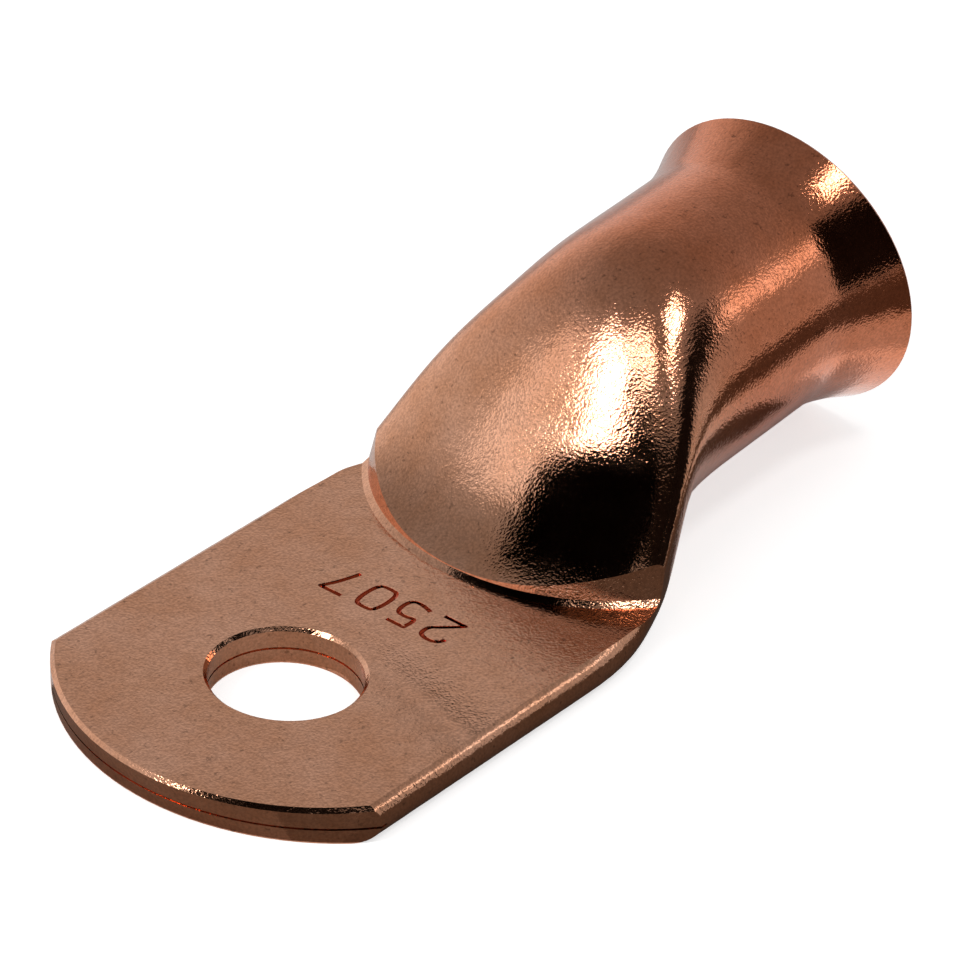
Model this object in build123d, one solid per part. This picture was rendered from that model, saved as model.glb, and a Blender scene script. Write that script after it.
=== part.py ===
from build123d import *
import math
import os

# Copper cable lug made from one length of round tube
# One end is pressed flat into a two-layer tongue, the other is flared
# Frame: origin at the stud hole's centre on the tongue's underside,
# X towards the cable mouth, Z up out of the tongue

# Tube
barrel_diameter = 19.0
wall = 1.5
barrel_radius = barrel_diameter / 2
bore_radius = barrel_radius - wall

# Tongue, two walls pressed on each other
tongue_width = 28.4
tongue_thickness = 2.74
blank_thickness = 2.86
hole_diameter = 10.4
hole_edge_bevel = 0.25

# Tip, sheared to an arc that leans in towards the underside
tip_radius = 17.05
tip_centre = 2.43
under_radius = 18.15
under_centre = 4.18
tip_edge_bevel = 0.3
corner_round = 0.4
corner_relief = 0.1

# Seam between the two layers, seen at the tip and in the hole
seam_height = 1.15
seam_width = 0.16
seam_depth = 0.22

# Round-to-flat transition, places along the part
press_start = 13.5
width_start = 14.0
shoulder_start = 14.0
fold_start = 18.0
shoulder_end = 23.75
under_start = 24.0
under_end = 31.5
fold_end = 33.0
width_end = 39.0
round_start = 40.0
barrel_start = 42.0
section_step = 1.25
lead = 1.5

# Barrel bent up a little where the tongue begins
barrel_pitch = 4.28
bend_end = 20.8

# Press die: curved front edge seen from above, leaning front face
nose_tip = 16.7
nose_radius = 15.5
nose_foot_bevel = 0.35
die_lean = 11.0
die_height = 12.0

# Cavity, a slit where the layers meet, which opens into the round bore
cavity_start = 21.0
bore_start = 38.0
bore_ledge = 0.02

# Barrel's straight run and flared mouth
barrel_length = 5.4
flare_length = 6.65
mouth_diameter = 22.85
mouth_tilt = 4.99
mouth_drop = 0.47
lip_bevel = 0.2

# Shares of the section's curves, the slit and the flare
flat_share = 1 - blank_thickness / tongue_width
joint_share = math.sqrt(0.5)
lean_share = math.tan(math.pi / 8)
handle_share = 4 / 3 * math.tan(math.pi / 16) / lean_share
slit_share = 0.4
cavity_step_shares = [0, 0.18, 0.36, 0.55, 0.77, 1]
flare_curl_share = 1.6
flare_step_shares = [0, 0.2, 0.4, 0.6, 0.8, 1]

# Overrun of every cutting tool
overrun = 5.0


def blend(start, end, share):
    return start + (end - start) * share


def share_along(place, start, end):
    return min(max((place - start) / (end - start), 0), 1)


def ease(place, start, end):
    # Smooth rise from 0 to 1 between two places along the part
    share = share_along(place, start, end)
    return share**3 * (10 - 15 * share + 6 * share**2)


def section_plane(place):
    # Plane across the part, its origin on the underside
    slope = math.tan(math.radians(barrel_pitch))
    tilt = math.radians(barrel_pitch) * ease(place, press_start, bend_end)
    share = share_along(place, press_start, bend_end)
    bend = (bend_end - press_start) * (share**6 - 3 * share**5 + 5 / 2 * share**4)
    rise = slope * (bend + max(place - bend_end, 0))
    ahead = (math.cos(tilt), 0, math.sin(tilt))
    return Plane(origin=(place, 0, rise), x_dir=(0, 1, 0), z_dir=ahead)


def half_width(place):
    return blend(tongue_width / 2, barrel_radius, ease(place, width_start, width_end))


def crest_height(place):
    return blend(blank_thickness, barrel_diameter, ease(place, press_start, round_start))


def fold_height(place):
    return blend(blank_thickness / 2, barrel_radius, ease(place, fold_start, fold_end))


def toward(start, end):
    return tuple(blend(a, b, handle_share) for a, b in zip(start, end))


def quarter(reach, drop, across_share, drop_share):
    # Two curves from the top of a quarter to its side, tangent where they join
    # Points are across from the middle and down from the top
    joint = (reach * across_share, drop * drop_share)
    turn = joint[1] / (joint[0] * lean_share)
    top_apex = (joint[0] * (1 - lean_share), 0)
    side_apex = (reach, joint[1] + turn * (reach - joint[0]))
    top = (0, 0)
    side = (reach, drop)
    upper = [top, toward(top, top_apex), toward(joint, top_apex), joint]
    lower = [joint, toward(joint, side_apex), toward(side, side_apex), side]
    return upper, lower


def closed_wire(plane, under, over, crest):
    # Right half from the underside to the crest, and its mirror image
    rising = list(under) + [
        [(across, crest - down) for across, down in points[::-1]] for points in over[::-1]
    ]
    curves = []
    for side, runs in ((1, rising), (-1, rising[::-1])):
        for points in runs:
            ordered = points[::side]
            curves.append([plane.from_local_coords((side * a, up)) for a, up in ordered])
    return Wire([Bezier(*points) for points in curves])


def section_wire(place):
    reach = half_width(place)
    fold = fold_height(place)
    crest = crest_height(place)
    under_turn = ease(place, under_start, under_end)
    over_turn = ease(place, shoulder_start, shoulder_end)
    across_under = blend(flat_share, joint_share, under_turn)
    across_over = blend(flat_share, joint_share, over_turn)
    under = quarter(reach, fold, across_under, (1 - joint_share) * under_turn)
    over = quarter(reach, crest - fold, across_over, (1 - joint_share) * over_turn)
    return closed_wire(section_plane(place), under, over, crest)


def oval_wire(plane, reach, low, high):
    half = quarter(reach, (high - low) / 2, joint_share, 1 - joint_share)
    under = [[(across, low + down) for across, down in points] for points in half]
    return closed_wire(plane, under, half, high)


def transition():
    # Loft through sections from the flat end to the round end
    start = press_start - lead
    count = round((barrel_start - start) / section_step)
    places = [blend(start, barrel_start, index / count) for index in range(count + 1)]
    return Solid.make_loft([section_wire(place) for place in places])


def cavity():
    # Loft through ovals from the slit to just inside the bore's size
    ovals = []
    for share in cavity_step_shares:
        place = blend(cavity_start, bore_start, share)
        spread = blend(slit_share, 1, ease(place, cavity_start, fold_end))
        reach = (half_width(place) - wall - bore_ledge) * spread
        low = wall + bore_ledge
        high = crest_height(place) - low
        ovals.append(oval_wire(section_plane(place), reach, low, high))
    return Solid.make_loft(ovals)


def barrel():
    # Straight run of round tube
    ahead = section_plane(barrel_start).z_dir
    return extrude(Face(section_wire(barrel_start)), barrel_length, dir=ahead)


def bore():
    # Runs from the cavity's wide end a little way out into the flare
    start = section_plane(bore_start).location * Pos(0, barrel_radius, 0)
    into_flare = flare_length * flare_step_shares[1]
    depth = barrel_start - bore_start + barrel_length + into_flare
    return start * Cylinder(bore_radius, depth, align=(Align.CENTER, Align.CENTER, Align.MIN))


def mouth_plane(share):
    # Plane across the flare, tilted and dropped more towards the lip
    base = section_plane(barrel_start)
    along = barrel_length + flare_length * share
    centre = base.from_local_coords((0, barrel_radius - mouth_drop * share, along))
    tilt = math.radians(barrel_pitch + mouth_tilt * share)
    ahead = (math.cos(tilt), 0, math.sin(tilt))
    return Plane(origin=centre, x_dir=(0, 1, 0), z_dir=ahead)


def flare(inset=0):
    # Loft through rounds that open out towards the lip
    opening = mouth_diameter / 2 - barrel_radius
    rounds = []
    for share in flare_step_shares:
        reach = barrel_radius - inset + opening * share**flare_curl_share
        rounds.append(oval_wire(mouth_plane(share), reach, -reach, reach))
    return Solid.make_loft(rounds)


def tongue_blank():
    # Folded tube before the die flattens it
    start = press_start - lead
    reach = start - tip_centre + tip_radius
    return extrude(Face(section_wire(start)), reach, dir=(-1, 0, 0))


def tip_middle(height):
    return blend(under_centre, tip_centre, height / tongue_thickness)


def tip_reach(height):
    return blend(under_radius, tip_radius, height / tongue_thickness)


def tip_shear():
    # What the shear leaves: a leaning arc, then the tongue's full width
    levels = [-overrun, tongue_thickness + overrun]
    planes = [Plane(origin=(tip_middle(level), 0, level)) for level in levels]
    rings = [Wire.make_circle(tip_reach(z), plane) for z, plane in zip(levels, planes)]
    arc = Solid.make_loft(rings, ruled=True)
    extent = 2 * under_radius
    middle = tongue_thickness / 2
    height = tongue_thickness + 2 * overrun
    rest = Pos(tip_centre + extent / 2, 0, middle) * Box(extent, extent, height)
    plan = Pos(tip_centre, 0) * Circle(tip_radius + corner_relief)
    plan += Pos(tip_centre + extent / 2, 0) * Rectangle(extent, extent)
    plan &= Pos(tip_centre, 0) * Rectangle(2 * extent, tongue_width)
    corners = plan.vertices().sort_by(Axis.X)[:2]
    plan = fillet(corners, corner_round)
    column = Pos(0, 0, middle) * extrude(plan, height / 2, both=True)
    return (arc + rest) & column


def press_die():
    # Flat face with a curved, leaning front and a bevelled foot
    reach = nose_tip - tip_centre + tip_radius + overrun
    top_radius = nose_radius - die_height * math.tan(math.radians(die_lean))
    low = tongue_thickness
    high = tongue_thickness + die_height
    face = Polygon(
        (nose_radius, low),
        (nose_radius + reach, low),
        (nose_radius + reach, high),
        (top_radius, high),
        align=None,
    )
    foot = face.vertices().group_by(Axis.Y)[0].sort_by(Axis.X)[0]
    face = chamfer(foot, nose_foot_bevel)
    ring = revolve(Plane.XZ * face, Axis.Z)
    extent = 2 * (nose_radius + reach)
    middle = tongue_thickness + die_height / 2
    front = Pos(-extent / 2, 0, middle) * Box(extent, 2 * extent, 2 * die_height)
    return Pos(nose_tip + nose_radius, 0, 0) * (ring & front)


def seam():
    # Fine line between the layers, fading out before the tip's corners
    tip = tip_middle(seam_height) - tip_reach(seam_height)
    slot = Box(4 * tip_radius, 2 * tongue_width, seam_width)
    core = Cylinder(tip_radius, 2 * seam_width)
    rest = Pos(tip_radius, 0, 0) * Box(4 * tip_radius, 2 * tongue_width, 2 * seam_width)
    outer = slot - core - Pos(tip_radius, 0, 0) * rest
    outer = Pos(tip + seam_depth + tip_radius, 0, seam_height) * outer
    ring = Pos(0, 0, seam_height) * Cylinder(hole_diameter / 2 + seam_depth, seam_width)
    return outer, ring


def hole_edge(body):
    # Upper rim of the stud hole, rolled over where the punch went in
    rims = body.edges().filter_by(GeomType.CIRCLE)
    around = [rim for rim in rims if math.hypot(rim.arc_center.X, rim.arc_center.Y) < wall]
    return ShapeList(around).sort_by(Axis.Z)[-1]


def lip_edges(body):
    # Inner and outer rims of the flared mouth
    return body.faces().filter_by(GeomType.PLANE).sort_by(Axis.X)[-1].edges()


def lug():
    body = tongue_blank() & tip_shear()
    body += transition()
    body -= press_die()
    top = body.faces().filter_by(Plane.XY).sort_by(Axis.Z)[-1]
    tip_edge = top.edges().sort_by(Axis.X)[0]
    body = chamfer(tip_edge, tip_edge_bevel)
    body = body + barrel() + flare()
    body = body - cavity() - bore() - flare(wall + bore_ledge)
    body -= Cylinder(hole_diameter / 2, 4 * tongue_thickness)
    body = chamfer(hole_edge(body), hole_edge_bevel)
    body = chamfer(lip_edges(body), lip_bevel)
    tip_seam, hole_seam = seam()
    body = body - tip_seam - hole_seam
    return body


os.makedirs("parts", exist_ok=True)
export_step(lug(), "parts/lug_body.step")
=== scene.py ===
import bpy
import math
from mathutils import Matrix, Vector


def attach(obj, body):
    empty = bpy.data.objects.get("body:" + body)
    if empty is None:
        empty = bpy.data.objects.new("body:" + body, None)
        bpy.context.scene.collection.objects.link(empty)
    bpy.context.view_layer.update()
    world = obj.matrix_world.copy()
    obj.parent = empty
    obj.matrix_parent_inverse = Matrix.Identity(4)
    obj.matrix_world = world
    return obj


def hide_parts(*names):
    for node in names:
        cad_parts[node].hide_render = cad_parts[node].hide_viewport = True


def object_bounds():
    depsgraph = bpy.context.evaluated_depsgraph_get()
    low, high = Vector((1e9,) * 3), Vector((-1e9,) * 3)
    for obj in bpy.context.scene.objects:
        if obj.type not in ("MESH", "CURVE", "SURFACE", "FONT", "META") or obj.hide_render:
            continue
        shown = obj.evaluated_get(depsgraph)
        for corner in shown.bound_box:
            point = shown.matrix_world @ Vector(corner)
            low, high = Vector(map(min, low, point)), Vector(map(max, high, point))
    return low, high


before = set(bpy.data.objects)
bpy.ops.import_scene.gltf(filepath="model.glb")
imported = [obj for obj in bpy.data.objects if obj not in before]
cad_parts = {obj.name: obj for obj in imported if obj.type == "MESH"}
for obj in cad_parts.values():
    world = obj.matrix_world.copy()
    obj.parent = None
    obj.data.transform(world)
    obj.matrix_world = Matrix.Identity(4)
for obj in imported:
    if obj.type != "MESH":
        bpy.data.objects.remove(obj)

cad_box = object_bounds()
mm = 0.001

# Stamp: four plain digits pressed into the tongue
stamp_digits = "2507"
tongue_top = 2.74 * mm
stamp_middle = (10.85 * mm, 0)
digit_height = 2.9 * mm
digit_width = 1.8 * mm
digit_pitch = 2.8 * mm
stroke_radius = 0.21 * mm
stroke_depth = 0.13 * mm

# Darker hollows of the digits: how far from the stamp's middle they reach, along, across and down
digit_dark_along = digit_height
digit_dark_across = 1.7 * digit_pitch + digit_width
digit_dark_down = 0.85 * stroke_depth

# Copper: how far apart its marks lie, and how high they stand
peel_spacing = 1.0 * mm
peel_height = 0.014 * mm
grain_spacing = 0.2 * mm
grain_height = 0.02 * mm
patch_spacing = 5 * mm
pit_spacing = 0.5 * mm

# Film: where along the lug it starts and where it is full
film_start = 24 * mm
film_full = 40 * mm

# Skin: corners nearer to each other than this are one, and edges that turn less are smooth
skin_merge_gap = 0.0005 * mm
punch_merge_gap = 0.001 * mm
smooth_up_to = math.radians(24)

# Studio: metres from the lug, and glows where 1 is white
floor_size = 4
floor_glow = 0.62
room_glow_low = 0.80
room_glow_high = 0.24
lug_middle = Vector((0.02, 0, 0.008))
lamp_distance = 0.5
card_distance = 0.55
floor_card_lift = 0.1 * mm

# Flags: the foot of the ramp, the way in which it mirrors the camera's view, and their corner
ramp_foot = Vector((0.024, -0.003, 0.008))
mirrored_azimuth = 164.5
mirrored_elevation = 42
flag_height = 10 * mm
flag_corner = (-3.4 * mm, -0.4 * mm)

# Camera: degrees, millimetres from the stud hole, and pixels of the photograph
camera_azimuth = -52.784
camera_elevation = 32.421
camera_roll = 3.575
camera_distance = 368.0936
camera_right = 12.788
camera_up = 14.8987
focal_pixels = 5616.308
picture_pixels = 960
sensor_width = 36
nearest_seen = 10 * mm


# Small helpers

def linear(hex_code):
    # sRGB hex to the linear values that the shader wants
    parts = [int(hex_code[i:i + 2], 16) / 255 for i in (0, 2, 4)]
    return [c / 12.92 if c <= 0.04045 else ((c + 0.055) / 1.055) ** 2.4 for c in parts] + [1]


def node(tree, kind, inputs=None, links=None, **settings):
    # One node with its settings, its fixed inputs and what feeds it
    made = tree.nodes.new(kind)
    for name, value in settings.items():
        setattr(made, name, value)
    for name, value in (inputs or {}).items():
        made.inputs[name].default_value = value
    for name, source in (links or {}).items():
        tree.links.new(source, made.inputs[name])
    return made


def new_material(name):
    material = bpy.data.materials.new(name)
    material.use_nodes = True
    material.node_tree.nodes.clear()
    return material, material.node_tree


def pick(piece):
    # This object alone is selected and active
    bpy.ops.object.select_all(action="DESELECT")
    bpy.context.view_layer.objects.active = piece
    piece.select_set(True)


# Copper: pressed tube left bare after an acid bright dip

def bright_dipped_copper():
    # To the eye: satin orange-pink metal, etched grain that sparkles, browner on the tube
    material, tree = new_material("copper_bright_dipped")
    place = node(tree, "ShaderNodeTexCoord")
    at = node(tree, "ShaderNodeSeparateXYZ", links={"Vector": place.outputs["Object"]})
    # Orange peel of a pressed tube, about 1 mm from bump to bump
    peel = node(tree, "ShaderNodeTexNoise",
                inputs={"Scale": 1 / peel_spacing, "Detail": 1.0, "Roughness": 0.5},
                links={"Vector": place.outputs["Object"]})
    # Etched crystal grain, really about 0.05 mm, drawn at 0.2 mm so that it shows
    grain = node(tree, "ShaderNodeTexNoise",
                 inputs={"Scale": 1 / grain_spacing, "Detail": 1.5, "Roughness": 0.6},
                 links={"Vector": place.outputs["Object"]})
    # Darker and paler areas some millimetres wide, left by the dip
    patch = node(tree, "ShaderNodeTexNoise",
                 inputs={"Scale": 1 / patch_spacing, "Detail": 4.0, "Roughness": 0.6},
                 links={"Vector": place.outputs["Object"]})
    tint = node(tree, "ShaderNodeValToRGB", links={"Fac": patch.outputs["Fac"]})
    tint.color_ramp.elements[0].position = 0.35
    tint.color_ramp.elements[0].color = linear("E6A580")
    tint.color_ramp.elements[1].position = 0.65
    tint.color_ramp.elements[1].color = linear("F2B594")
    # Brown film of the drawn tube, which the press has polished off the tongue
    film = node(tree, "ShaderNodeMapRange", interpolation_type="SMOOTHSTEP",
                inputs={"From Min": film_start, "From Max": film_full, "To Max": 0.7},
                links={"Value": at.outputs["X"]})
    filmed = node(tree, "ShaderNodeMix", data_type="RGBA", blend_type="MULTIPLY",
                  inputs={"B": linear("EBAE90")},
                  links={"Factor": film.outputs["Result"], "A": tint.outputs["Color"]})
    # Darker red copper on the walls and floor of the pressed digits' hollows
    along = node(tree, "ShaderNodeMath", operation="COMPARE",
                 inputs={1: stamp_middle[0], 2: digit_dark_along}, links={0: at.outputs["X"]})
    across = node(tree, "ShaderNodeMath", operation="COMPARE",
                  inputs={1: stamp_middle[1], 2: digit_dark_across}, links={0: at.outputs["Y"]})
    down = node(tree, "ShaderNodeMath", operation="COMPARE",
                inputs={1: tongue_top - stroke_depth, 2: digit_dark_down}, links={0: at.outputs["Z"]})
    by_stamp = node(tree, "ShaderNodeMath", operation="MULTIPLY",
                    links={0: along.outputs["Value"], 1: across.outputs["Value"]})
    in_stamp = node(tree, "ShaderNodeMath", operation="MULTIPLY",
                    links={0: by_stamp.outputs["Value"], 1: down.outputs["Value"]})
    digits_darkened = node(tree, "ShaderNodeMix", data_type="RGBA", blend_type="MULTIPLY",
                   inputs={"B": linear("CC6E50")},
                   links={"Factor": in_stamp.outputs["Value"], "A": filmed.outputs["Result"]})
    # Single grains that look darker or paler than their neighbours
    speck = node(tree, "ShaderNodeMapRange",
                 inputs={"From Min": 0.35, "From Max": 0.65, "To Min": 0.80, "To Max": 1.06},
                 links={"Value": grain.outputs["Fac"]})
    speckled = node(tree, "ShaderNodeVectorMath", operation="SCALE",
                    links={"Vector": digits_darkened.outputs["Result"], "Scale": speck.outputs["Result"]})
    # Pits and soot specks left by the dip, about 0.4 mm across and far apart
    pits = node(tree, "ShaderNodeTexNoise",
                inputs={"Scale": 1 / pit_spacing, "Detail": 2.0, "Roughness": 0.7},
                links={"Vector": place.outputs["Object"]})
    pit = node(tree, "ShaderNodeMapRange", interpolation_type="SMOOTHSTEP",
               inputs={"From Min": 0.62, "From Max": 0.72, "To Min": 1.0, "To Max": 0.62},
               links={"Value": pits.outputs["Fac"]})
    pitted = node(tree, "ShaderNodeVectorMath", operation="SCALE",
                  links={"Vector": speckled.outputs["Vector"], "Scale": pit.outputs["Result"]})
    # The paler areas are a little more satin than the darker ones
    gloss = node(tree, "ShaderNodeMapRange",
                 inputs={"From Min": 0.3, "From Max": 0.7, "To Min": 0.07, "To Max": 0.13},
                 links={"Value": patch.outputs["Fac"]})
    peel_bump = node(tree, "ShaderNodeBump", inputs={"Strength": 1.0, "Distance": peel_height},
                     links={"Height": peel.outputs["Fac"]})
    grain_bump = node(tree, "ShaderNodeBump", inputs={"Strength": 1.0, "Distance": grain_height},
                      links={"Height": grain.outputs["Fac"], "Normal": peel_bump.outputs["Normal"]})
    metal = node(tree, "ShaderNodeBsdfPrincipled", inputs={"Metallic": 1.0},
                 links={"Base Color": pitted.outputs["Vector"],
                        "Roughness": gloss.outputs["Result"],
                        "Normal": grain_bump.outputs["Normal"]})
    node(tree, "ShaderNodeOutputMaterial", links={"Surface": metal.outputs["BSDF"]})
    return material


copper = bright_dipped_copper()


# Lug: the CAD solid's own skin, with the plain digits pressed in

# Each stroke bends past points on a cell that is one wide and one high
digit_strokes = {
    "2": [(0, 0.75), (0.05, 1), (0.95, 1), (1, 0.6), (0.6, 0.4), (0, 0), (0, 0), (1, 0)],
    "5": [(0.9, 1), (0.1, 1), (0.1, 1), (0.05, 0.55), (0.5, 0.65),
          (1, 0.6), (1, 0), (0.4, 0), (0, 0.1)],
    "7": [(0, 1), (1, 1), (1, 1), (0.6, 0.5), (0.4, 0)],
    "0": [(0.5, 1), (0, 0.95), (0, 0.05), (0.5, 0), (1, 0.05), (1, 0.95)],
}


def merged_copy(source, name):
    # The CAD mesh comes as loose triangles, so its corners are joined first
    skin = source.copy()
    skin.data = source.data.copy()
    skin.name = name
    bpy.context.scene.collection.objects.link(skin)
    skin.parent = None
    skin.matrix_world = source.matrix_world
    pick(skin)
    bpy.ops.object.transform_apply(location=True, rotation=True, scale=True)
    bpy.ops.mesh.customdata_custom_splitnormals_clear()
    bpy.ops.object.mode_set(mode="EDIT")
    bpy.ops.mesh.select_all(action="SELECT")
    bpy.ops.mesh.remove_doubles(threshold=skin_merge_gap)
    bpy.ops.object.mode_set(mode="OBJECT")
    return skin


def digit_punch(digit, start):
    # A round wire bent to the digit, whose top points at the lug's tip
    path = bpy.data.curves.new("digit_wire", "CURVE")
    path.dimensions = "3D"
    path.bevel_depth = stroke_radius
    path.bevel_resolution = 2
    path.use_fill_caps = True
    points = digit_strokes[digit]
    stroke = path.splines.new("NURBS")
    stroke.points.add(len(points) - 1)
    stroke.order_u = 3
    stroke.resolution_u = 6
    # The nought is a closed ring, and every other digit has two ends
    stroke.use_endpoint_u = digit != "0"
    stroke.use_cyclic_u = digit == "0"
    height = tongue_top + stroke_radius - stroke_depth
    for place, (across, up) in zip(stroke.points, points):
        place.co = (stamp_middle[0] + (0.5 - up) * digit_height,
                    start + across * digit_width, height, 1)
    punch = bpy.data.objects.new("digit_punch_" + digit, path)
    bpy.context.scene.collection.objects.link(punch)
    pick(punch)
    bpy.ops.object.convert(target="MESH")
    bpy.ops.object.mode_set(mode="EDIT")
    bpy.ops.mesh.select_all(action="SELECT")
    bpy.ops.mesh.remove_doubles(threshold=punch_merge_gap)
    bpy.ops.mesh.normals_make_consistent(inside=False)
    bpy.ops.object.mode_set(mode="OBJECT")
    return bpy.context.object


def press_digits(skin, digits):
    span = digit_pitch * (len(digits) - 1) + digit_width
    for count, digit in enumerate(digits):
        punch = digit_punch(digit, stamp_middle[1] - span / 2 + count * digit_pitch)
        cut = skin.modifiers.new("pressed_digit", "BOOLEAN")
        cut.operation = "DIFFERENCE"
        cut.solver = "MANIFOLD"
        cut.object = punch
        pick(skin)
        bpy.ops.object.modifier_apply(modifier="pressed_digit")
        bpy.data.objects.remove(punch)


def stamped_lug():
    skin = merged_copy(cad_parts["lug_body"], "stamped_lug")
    press_digits(skin, stamp_digits)
    pick(skin)
    bpy.ops.object.shade_smooth_by_angle(angle=smooth_up_to)
    flats = skin.modifiers.new("flats_stay_flat", "WEIGHTED_NORMAL")
    flats.keep_sharp = True
    bpy.ops.object.modifier_apply(modifier="flats_stay_flat")
    skin.data.materials.clear()
    skin.data.materials.append(copper)
    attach(skin, "root")
    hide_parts("lug_body")


stamped_lug()


# Studio: pale floor, white surroundings, and what the metal mirrors

def studio_floor():
    # Matte white paper: pure white to the camera, and softer grey in the metal
    bpy.ops.object.select_all(action="DESELECT")
    bpy.ops.mesh.primitive_plane_add(size=floor_size, location=(0, 0, cad_box[0][2]))
    floor = bpy.context.object
    floor.name = "studio_floor"
    material, tree = new_material("paper_white_matte")
    path = node(tree, "ShaderNodeLightPath")
    paper = node(tree, "ShaderNodeBsdfDiffuse", inputs={"Color": linear("F4F4F4")})
    glow = node(tree, "ShaderNodeEmission",
                inputs={"Color": linear("FFFFFF"), "Strength": floor_glow})
    bright = node(tree, "ShaderNodeAddShader",
                  links={0: paper.outputs["BSDF"], 1: glow.outputs["Emission"]})
    seen = node(tree, "ShaderNodeMixShader",
                links={"Fac": path.outputs["Is Camera Ray"],
                       1: paper.outputs["BSDF"], 2: bright.outputs["Shader"]})
    node(tree, "ShaderNodeOutputMaterial", links={"Surface": seen.outputs["Shader"]})
    floor.data.materials.append(material)


def studio_world():
    # A room whose walls are pale low down and dim towards the ceiling
    world = bpy.data.worlds.new("studio_white")
    world.use_nodes = True
    tree = world.node_tree
    tree.nodes.clear()
    place = node(tree, "ShaderNodeTexCoord")
    height = node(tree, "ShaderNodeSeparateXYZ", links={"Vector": place.outputs["Generated"]})
    room = node(tree, "ShaderNodeMapRange", interpolation_type="SMOOTHSTEP",
                inputs={"From Min": 0.1, "From Max": 0.9,
                        "To Min": room_glow_low, "To Max": room_glow_high},
                links={"Value": height.outputs["Z"]})
    path = node(tree, "ShaderNodeLightPath")
    strength = node(tree, "ShaderNodeMix", data_type="FLOAT", inputs={"B": 1.0},
                    links={"Factor": path.outputs["Is Camera Ray"], "A": room.outputs["Result"]})
    sky = node(tree, "ShaderNodeBackground", inputs={"Color": linear("FFFFFF")},
               links={"Strength": strength.outputs["Result"]})
    node(tree, "ShaderNodeOutputWorld", links={"Surface": sky.outputs["Background"]})
    bpy.context.scene.world = world


def matte_card(name, hex_code):
    material, tree = new_material(name)
    face = node(tree, "ShaderNodeBsdfDiffuse", inputs={"Color": linear(hex_code)})
    node(tree, "ShaderNodeOutputMaterial", links={"Surface": face.outputs["BSDF"]})
    return material


def glowing_card(name, glow):
    material, tree = new_material(name)
    face = node(tree, "ShaderNodeEmission", inputs={"Color": linear("FFFFFF"), "Strength": glow})
    node(tree, "ShaderNodeOutputMaterial", links={"Surface": face.outputs["Emission"]})
    return material


def facing(azimuth, elevation):
    # The way out from the lug, the level way across it and the way up it
    a = math.radians(azimuth)
    e = math.radians(elevation)
    away = Vector((math.cos(a) * math.cos(e), math.sin(a) * math.cos(e), math.sin(e)))
    side = Vector((-math.sin(a), math.cos(a), 0))
    return away, side, away.cross(side)


def facing_lug(azimuth, elevation, distance):
    # A place around the lug, turned square on to it
    away, side, up = facing(azimuth, elevation)
    turned = Matrix((side, up, away)).transposed().to_4x4()
    return Matrix.Translation(away * distance + lug_middle) @ turned


def soft_box(name, azimuth, elevation, width, height, glow, turn=0):
    # Its face looks as bright as glow, whatever its size
    lamp = bpy.data.lights.new(name, "AREA")
    lamp.shape = "RECTANGLE"
    lamp.size = width
    lamp.size_y = height
    lamp.energy = glow * math.pi * width * height
    stand = bpy.data.objects.new(name, lamp)
    square_on = facing_lug(azimuth, elevation, lamp_distance)
    stand.matrix_world = square_on @ Matrix.Rotation(math.radians(turn), 4, "Z")
    bpy.context.scene.collection.objects.link(stand)


def hidden_card(name, material):
    # Seen by the metal alone, never by the camera, and it throws no shadow
    bpy.ops.object.select_all(action="DESELECT")
    bpy.ops.mesh.primitive_plane_add(size=1)
    card = bpy.context.object
    card.name = name
    card.data.materials.append(material)
    card.visible_camera = False
    card.visible_shadow = False
    card.visible_diffuse = False
    return card


def standing_card(name, azimuth, elevation, width, height, material):
    # Keeps the pale room out of one side of the metal
    card = hidden_card(name, material)
    square_on = facing_lug(azimuth, elevation, card_distance)
    card.matrix_world = square_on @ Matrix.Diagonal((width, height, 1, 1))


def floor_card(name, middle, length, width, material):
    # Lies on the floor, where the sides of the metal mirror it
    card = hidden_card(name, material)
    place = Matrix.Translation((middle[0], middle[1], cad_box[0][2] + floor_card_lift))
    card.matrix_world = place @ Matrix.Diagonal((length, width, 1, 1))


def ramp_flag(name, length, width, turn, material):
    # Held close over the foot of the ramp, edge on to the tongue, to darken what it mirrors
    # It hangs from its upper left corner as seen from the lug, and stops the lamps there
    card = hidden_card(name, material)
    card.visible_shadow = True
    away, side, up = facing(mirrored_azimuth, mirrored_elevation)
    lean = math.radians(turn)
    along = side * math.cos(lean) + up * math.sin(lean)
    down = side * math.sin(lean) - up * math.cos(lean)
    corner = ramp_foot + away * flag_height + side * flag_corner[0] + up * flag_corner[1]
    middle = corner + along * length / 2 + down * width / 2
    turned = Matrix((along, down, along.cross(down))).transposed().to_4x4()
    card.matrix_world = Matrix.Translation(middle) @ turned @ Matrix.Diagonal((length, width, 1, 1))


studio_floor()
studio_world()

# Felt and velvet: matte blacks that the metal mirrors as its dark sides
felt = matte_card("felt_black_card", "1A1716")
velvet = matte_card("velvet_black_flag", "060505")
# Painted board: even matte tones, mirrored along the edges and in the hole
board = matte_card("board_brown_card", "6A6058")
grey = matte_card("board_grey_card", "C4BBB2")
beige = matte_card("board_beige_card", "8A8078")
# Paper lit from behind: an even pale glow with no hot spot
paper = glowing_card("paper_lit_card", 0.95)
dim = glowing_card("paper_shaded_card", 0.45)

# The bright patch on the ramp, its soft left side and its short arm
soft_box("soft_box_back", azimuth=159, elevation=43, width=0.08, height=0.16, glow=9)
soft_box("soft_box_dim", azimuth=141, elevation=35, width=0.10, height=0.12, glow=0.62)
soft_box("soft_box_arm", azimuth=181, elevation=61, width=0.20, height=0.05, glow=6, turn=39)
# The gleam on the flare
soft_box("soft_box_front", azimuth=-90, elevation=69, width=0.14, height=0.08, glow=9)
# The long streak down the barrel
soft_box("strip_box_right", azimuth=-44, elevation=30, width=0.07, height=0.09, glow=1.15)

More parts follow.
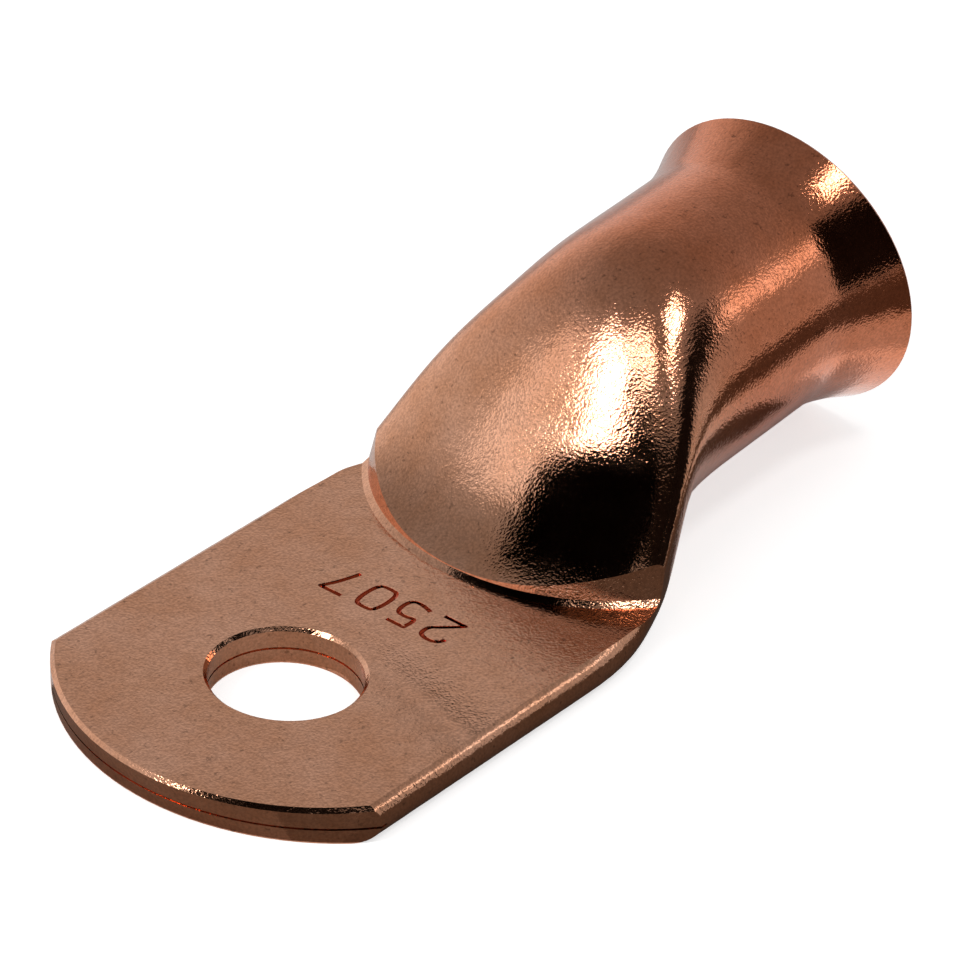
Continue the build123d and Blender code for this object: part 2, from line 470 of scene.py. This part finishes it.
# The dark sides of the ramp, the bend, the flare and the barrel
standing_card("card_left_back", azimuth=176, elevation=46, width=0.14, height=0.30, material=felt)
standing_card("card_by_camera", azimuth=-138, elevation=33, width=0.62, height=0.44, material=felt)
standing_card("card_right", azimuth=-78, elevation=18, width=0.46, height=0.70, material=felt)
standing_card("card_right_dim", azimuth=-40, elevation=7, width=0.30, height=0.33, material=dim)

# What the edges, the hole's wall, the barrel's underside and the flare's lip mirror
floor_card("card_beside_tongue", middle=(0.0080, -0.020), length=0.086, width=0.020, material=board)
floor_card("card_right_floor", middle=(0.048, -0.130), length=0.166, width=0.200, material=board)
floor_card("card_before_tip", middle=(-0.0300, 0.010), length=0.042, width=0.070, material=beige)
floor_card("card_under_hole", middle=(-0.0020, 0), length=0.014, width=0.020, material=grey)
floor_card("card_by_mouth", middle=(0.0710, -0.0055), length=0.031, width=0.021, material=paper)

# The black patch at the foot of the ramp
ramp_flag("flag_over_foot", length=14 * mm, width=8 * mm, turn=0, material=velvet)
ramp_flag("flag_over_ramp", length=16 * mm, width=8 * mm, turn=39, material=velvet)


# Camera: the photograph's viewing angle

def photo_camera():
    azimuth = math.radians(camera_azimuth)
    elevation = math.radians(camera_elevation)
    roll = math.radians(camera_roll)
    back = Vector((math.sin(azimuth) * math.cos(elevation),
                   -math.cos(azimuth) * math.cos(elevation), math.sin(elevation)))
    level = Vector((math.cos(azimuth), math.sin(azimuth), 0))
    upright = back.cross(level)
    right = level * math.cos(roll) + upright * math.sin(roll)
    up = upright * math.cos(roll) - level * math.sin(roll)
    place = (back * camera_distance + right * camera_right + up * camera_up) * mm
    lens = bpy.data.cameras.new("photo_camera")
    lens.sensor_width = sensor_width
    lens.lens = focal_pixels / picture_pixels * sensor_width
    lens.clip_start = nearest_seen
    stand = bpy.data.objects.new("photo_camera", lens)
    turned = Matrix((right, up, back)).transposed().to_4x4()
    stand.matrix_world = Matrix.Translation(place) @ turned
    bpy.context.scene.collection.objects.link(stand)
    bpy.context.scene.camera = stand


photo_camera()
bpy.context.scene.view_settings.view_transform = "Standard"
